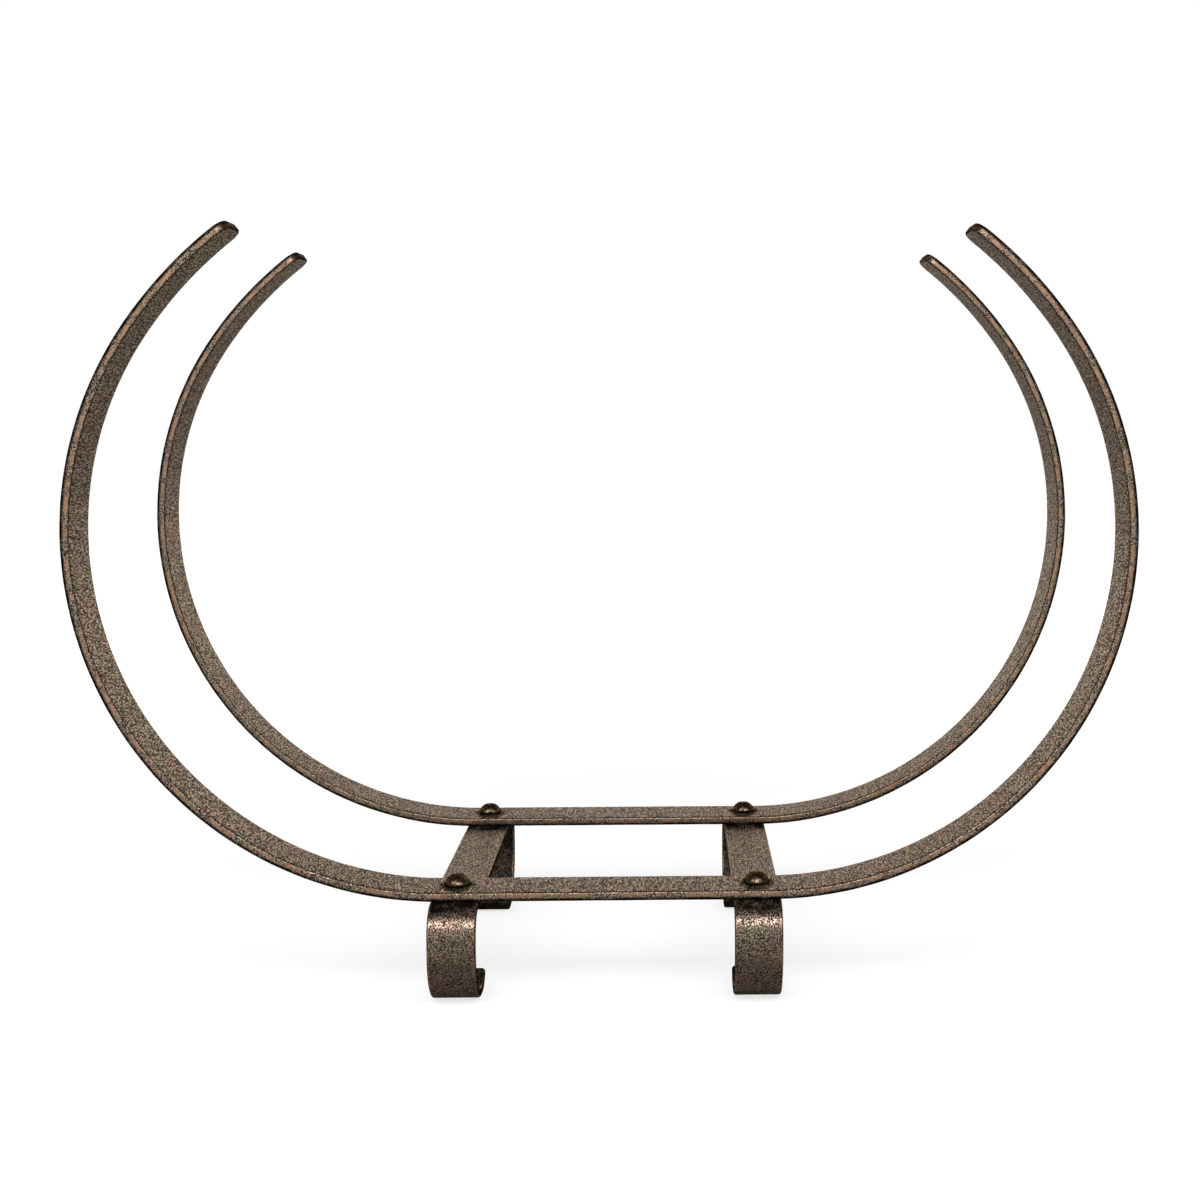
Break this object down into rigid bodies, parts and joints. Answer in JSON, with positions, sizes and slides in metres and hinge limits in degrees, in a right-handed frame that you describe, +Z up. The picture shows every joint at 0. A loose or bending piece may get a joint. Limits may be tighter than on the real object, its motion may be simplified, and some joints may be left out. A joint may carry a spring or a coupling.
{
  "type": "firewood rack",
  "caption": "Open firewood rack: flat-bar steel hoops with in-curled arms, bolted across foot bars whose ends bend into curled feet; logs lie in the cradle.",
  "frame": {"origin": "on the floor, under the middle of the rack", "axes": "+X to the right across the hoops, +Y from the front hoop to the rear hoop, +Z up"},
  "size_m": [0.6984, 0.2774, 0.5121],
  "materials": {
    "bar_finish": "fine-grained brown pewter powder coat, rubbed to copper along the edges",
    "black_oxide": "black oxide"
  },
  "bodies": {
    "root": {"front_hoop": "bar_finish", "rear_hoop": "bar_finish", "left_foot_bar": "bar_finish", "right_foot_bar": "bar_finish", "screw_front_left": "black_oxide", "screw_front_right": "black_oxide", "screw_rear_left": "black_oxide", "screw_rear_right": "black_oxide", "washer_front_left": "black_oxide", "washer_front_right": "black_oxide", "washer_rear_left": "black_oxide", "washer_rear_right": "black_oxide", "nut_front_left": "black_oxide", "nut_front_right": "black_oxide", "nut_rear_left": "black_oxide", "nut_rear_right": "black_oxide"}
  },
  "joints": []
}
